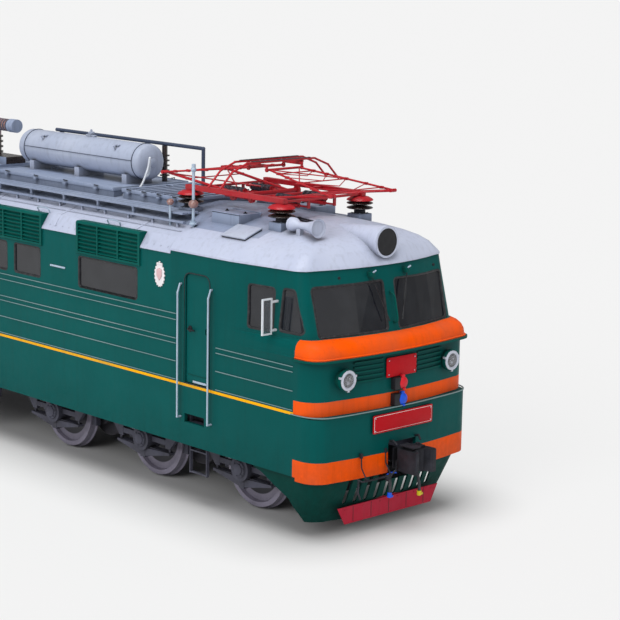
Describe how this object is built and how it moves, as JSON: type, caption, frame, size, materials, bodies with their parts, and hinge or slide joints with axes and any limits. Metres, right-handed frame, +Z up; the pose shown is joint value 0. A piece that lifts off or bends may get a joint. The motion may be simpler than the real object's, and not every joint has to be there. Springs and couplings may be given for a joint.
{
  "type": "six-axle electric locomotive with a cab at each end",
  "caption": "Mainline electric locomotive: two-cab hollow body on two three-axle bogies, folding roof pantographs, opening cab doors and automatic couplers.",
  "frame": {"origin": "centre of the length and width, on the plane that the lowest points of the wheel flanges touch; the rail top is 30 mm above it", "axes": "+X along the locomotive towards the front cab, +Y to its left, +Z up"},
  "size_m": [20.8, 3.55, 5.1447],
  "materials": {
    "body_green": "satin enamel",
    "roof_grey": "satin enamel",
    "gear_grey": "satin enamel",
    "running_gear": "matt paint",
    "coupler_black": "matt paint",
    "hose_rubber": "matt",
    "pantograph_red": "gloss enamel",
    "insulator_brown": "glazed",
    "wheel_steel": "worn",
    "rail_paint": "satin enamel",
    "window_glass": "dark tinted",
    "cab_interior": "satin",
    "seat_leather": "worn",
    "transformer_paint": "satin"
  },
  "bodies": {
    "body": {"underframe": "running_gear", "right_side_wall": "body_green", "left_side_wall": "body_green", "front_cab": "body_green", "rear_cab": "body_green", "main_roof": "roof_grey", "cab_roofs": "roof_grey", "cab_partitions": "cab_interior", "window_glass": "window_glass", "pilots": "body_green", "couplers": "coupler_black", "marker_lamps": "gear_grey", "headlamps": "roof_grey", "roof_tanks": "roof_grey", "roof_hatches": "gear_grey", "roof_rails": "roof_grey", "pantograph_insulators": "insulator_brown", "roof_conductors": "gear_grey", "main_breaker": "insulator_brown", "horns": "rail_paint", "transformer": "transformer_paint", "driver_desks": "cab_interior", "driver_seats": "seat_leather", "handrails": "rail_paint", "louvres": "body_green", "brake_hoses": "hose_rubber", "entry_steps": "running_gear", "battery_boxes": "running_gear", "wind_deflectors": "rail_paint", "pantograph_bases": "pantograph_red"},
    "front_bogie": {"front_bogie_frame": "running_gear", "front_suspension": "running_gear", "front_traction_motors": "running_gear", "front_brake_gear": "running_gear"},
    "rear_bogie": {"rear_bogie_frame": "running_gear", "rear_suspension": "running_gear", "rear_traction_motors": "running_gear", "rear_brake_gear": "running_gear"},
    "wheelset_1": {"wheelset_1": "wheel_steel"},
    "wheelset_2": {"wheelset_2": "wheel_steel"},
    "wheelset_3": {"wheelset_3": "wheel_steel"},
    "wheelset_4": {"wheelset_4": "wheel_steel"},
    "wheelset_5": {"wheelset_5": "wheel_steel"},
    "wheelset_6": {"wheelset_6": "wheel_steel"},
    "front_left_door": {"front_left_door": "body_green"},
    "front_right_door": {"front_right_door": "body_green"},
    "rear_left_door": {"rear_left_door": "body_green"},
    "rear_right_door": {"rear_right_door": "body_green"},
    "front_panto_lower_arm_a": {"front_panto_lower_arm_a": "pantograph_red"},
    "front_panto_lower_arm_b": {"front_panto_lower_arm_b": "pantograph_red"},
    "front_panto_upper_arm_a": {"front_panto_upper_arm_a": "pantograph_red"},
    "front_panto_upper_arm_b": {"front_panto_upper_arm_b": "pantograph_red"},
    "front_panto_head": {"front_panto_head": "pantograph_red"},
    "rear_panto_lower_arm_a": {"rear_panto_lower_arm_a": "pantograph_red"},
    "rear_panto_lower_arm_b": {"rear_panto_lower_arm_b": "pantograph_red"},
    "rear_panto_upper_arm_a": {"rear_panto_upper_arm_a": "pantograph_red"},
    "rear_panto_upper_arm_b": {"rear_panto_upper_arm_b": "pantograph_red"},
    "rear_panto_head": {"rear_panto_head": "pantograph_red"}
  },
  "joints": [
    {"name": "front_bogie_swivel", "type": "hinge", "parent": "body", "child": "front_bogie", "pos_m": [5.51, 0, 1.33], "axis": [0, 0, 1], "range_deg": [-2.5, 2.5]},
    {"name": "rear_bogie_swivel", "type": "hinge", "parent": "body", "child": "rear_bogie", "pos_m": [-5.51, 0, 1.33], "axis": [0, 0, 1], "range_deg": [-2.5, 2.5]},
    {"name": "wheelset_1_roll", "type": "hinge", "parent": "front_bogie", "child": "wheelset_1", "pos_m": [7.81, 0, 0.655], "axis": [0, 1, 0], "continuous": true},
    {"name": "wheelset_2_roll", "type": "hinge", "parent": "front_bogie", "child": "wheelset_2", "pos_m": [5.51, 0, 0.655], "axis": [0, 1, 0], "continuous": true},
    {"name": "wheelset_3_roll", "type": "hinge", "parent": "front_bogie", "child": "wheelset_3", "pos_m": [3.21, 0, 0.655], "axis": [0, 1, 0], "continuous": true},
    {"name": "wheelset_4_roll", "type": "hinge", "parent": "rear_bogie", "child": "wheelset_4", "pos_m": [-3.21, 0, 0.655], "axis": [0, 1, 0], "continuous": true},
    {"name": "wheelset_5_roll", "type": "hinge", "parent": "rear_bogie", "child": "wheelset_5", "pos_m": [-5.51, 0, 0.655], "axis": [0, 1, 0], "continuous": true},
    {"name": "wheelset_6_roll", "type": "hinge", "parent": "rear_bogie", "child": "wheelset_6", "pos_m": [-7.81, 0, 0.655], "axis": [0, 1, 0], "continuous": true},
    {"name": "front_right_door_swing", "type": "hinge", "parent": "body", "child": "front_right_door", "pos_m": [7.049, -1.488, 2.83], "axis": [0, 0, 1], "range_deg": [0, 85]},
    {"name": "front_left_door_swing", "type": "hinge", "parent": "body", "child": "front_left_door", "pos_m": [7.049, 1.488, 2.83], "axis": [0, 0, -1], "range_deg": [0, 85]},
    {"name": "rear_right_door_swing", "type": "hinge", "parent": "body", "child": "rear_right_door", "pos_m": [-7.049, -1.488, 2.83], "axis": [0, 0, -1], "range_deg": [0, 85]},
    {"name": "rear_left_door_swing", "type": "hinge", "parent": "body", "child": "rear_left_door", "pos_m": [-7.049, 1.488, 2.83], "axis": [0, 0, 1], "range_deg": [0, 85]},
    {"name": "front_panto_raise", "type": "hinge", "parent": "body", "child": "front_panto_lower_arm_a", "pos_m": [7.4, 0, 4.53], "axis": [0, -1, 0], "range_deg": [0, 38]},
    {"name": "front_panto_lower_b", "type": "hinge", "parent": "body", "child": "front_panto_lower_arm_b", "pos_m": [7, 0, 4.53], "axis": [0, 1, 0], "range_deg": [0, 38]},
    {"name": "front_panto_knuckle_a", "type": "hinge", "parent": "front_panto_lower_arm_a", "child": "front_panto_upper_arm_a", "pos_m": [9.03783, 0, 4.73], "axis": [0, 1, 0], "range_deg": [0, 76]},
    {"name": "front_panto_knuckle_b", "type": "hinge", "parent": "front_panto_lower_arm_b", "child": "front_panto_upper_arm_b", "pos_m": [5.36217, 0, 4.73], "axis": [0, -1, 0], "range_deg": [0, 76]},
    {"name": "front_panto_head_pivot", "type": "hinge", "parent": "front_panto_upper_arm_a", "child": "front_panto_head", "pos_m": [7.4, 0, 4.93], "axis": [0, -1, 0], "range_deg": [0, 38]},
    {"name": "rear_panto_raise", "type": "hinge", "parent": "body", "child": "rear_panto_lower_arm_a", "pos_m": [-7.4, 0, 4.53], "axis": [0, 1, 0], "range_deg": [0, 38]},
    {"name": "rear_panto_lower_b", "type": "hinge", "parent": "body", "child": "rear_panto_lower_arm_b", "pos_m": [-7, 0, 4.53], "axis": [0, -1, 0], "range_deg": [0, 38]},
    {"name": "rear_panto_knuckle_a", "type": "hinge", "parent": "rear_panto_lower_arm_a", "child": "rear_panto_upper_arm_a", "pos_m": [-9.03783, 0, 4.73], "axis": [0, -1, 0], "range_deg": [0, 76]},
    {"name": "rear_panto_knuckle_b", "type": "hinge", "parent": "rear_panto_lower_arm_b", "child": "rear_panto_upper_arm_b", "pos_m": [-5.36217, 0, 4.73], "axis": [0, 1, 0], "range_deg": [0, 76]},
    {"name": "rear_panto_head_pivot", "type": "hinge", "parent": "rear_panto_upper_arm_a", "child": "rear_panto_head", "pos_m": [-7.4, 0, 4.93], "axis": [0, 1, 0], "range_deg": [0, 38]}
  ],
  "couplings": [
    {"joint": "front_panto_lower_b", "follows": "front_panto_raise", "ratio": 1},
    {"joint": "front_panto_knuckle_a", "follows": "front_panto_raise", "ratio": 2},
    {"joint": "front_panto_knuckle_b", "follows": "front_panto_raise", "ratio": 2},
    {"joint": "front_panto_head_pivot", "follows": "front_panto_raise", "ratio": 1},
    {"joint": "rear_panto_lower_b", "follows": "rear_panto_raise", "ratio": 1},
    {"joint": "rear_panto_knuckle_a", "follows": "rear_panto_raise", "ratio": 2},
    {"joint": "rear_panto_knuckle_b", "follows": "rear_panto_raise", "ratio": 2},
    {"joint": "rear_panto_head_pivot", "follows": "rear_panto_raise", "ratio": 1}
  ]
}
